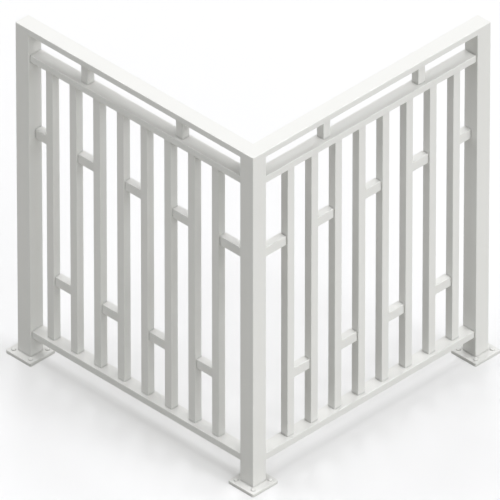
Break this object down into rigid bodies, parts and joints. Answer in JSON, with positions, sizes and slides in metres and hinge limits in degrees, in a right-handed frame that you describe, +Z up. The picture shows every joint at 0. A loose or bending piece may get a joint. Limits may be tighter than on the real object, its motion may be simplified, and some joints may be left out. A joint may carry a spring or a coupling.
{
  "type": "railing",
  "caption": "L-shaped steel railing with square posts on base plates, flat top rail, mid and bottom rails, upright balusters and two rows of spacer blocks.",
  "frame": {"origin": "centre of the underside of the corner post's base plate, on the floor", "axes": "+Z up the posts, +X along the right-hand bay, +Y along the left-hand bay, so the outer faces look towards -Y and -X"},
  "size_m": [0.957, 0.957, 1.1],
  "materials": {
    "white_powder_coat": "satin off-white powder coat on steel"
  },
  "bodies": {
    "root": {"corner_base_plate": "white_powder_coat", "corner_post": "white_powder_coat", "right_end_base_plate": "white_powder_coat", "right_end_post": "white_powder_coat", "left_end_base_plate": "white_powder_coat", "left_end_post": "white_powder_coat", "right_top_rail": "white_powder_coat", "right_top_rail_cap": "white_powder_coat", "right_mid_rail": "white_powder_coat", "right_bottom_rail": "white_powder_coat", "right_baluster_1": "white_powder_coat", "right_baluster_2": "white_powder_coat", "right_baluster_3": "white_powder_coat", "right_baluster_4": "white_powder_coat", "right_baluster_5": "white_powder_coat", "right_baluster_6": "white_powder_coat", "right_baluster_7": "white_powder_coat", "right_baluster_8": "white_powder_coat", "right_strut_1": "white_powder_coat", "right_strut_2": "white_powder_coat", "right_upper_spacers": "white_powder_coat", "right_lower_spacers": "white_powder_coat", "left_top_rail": "white_powder_coat", "left_top_rail_cap": "white_powder_coat", "left_mid_rail": "white_powder_coat", "left_bottom_rail": "white_powder_coat", "left_baluster_1": "white_powder_coat", "left_baluster_2": "white_powder_coat", "left_baluster_3": "white_powder_coat", "left_baluster_4": "white_powder_coat", "left_baluster_5": "white_powder_coat", "left_baluster_6": "white_powder_coat", "left_baluster_7": "white_powder_coat", "left_baluster_8": "white_powder_coat", "left_strut_1": "white_powder_coat", "left_strut_2": "white_powder_coat", "left_upper_spacers": "white_powder_coat", "left_lower_spacers": "white_powder_coat"}
  },
  "joints": []
}
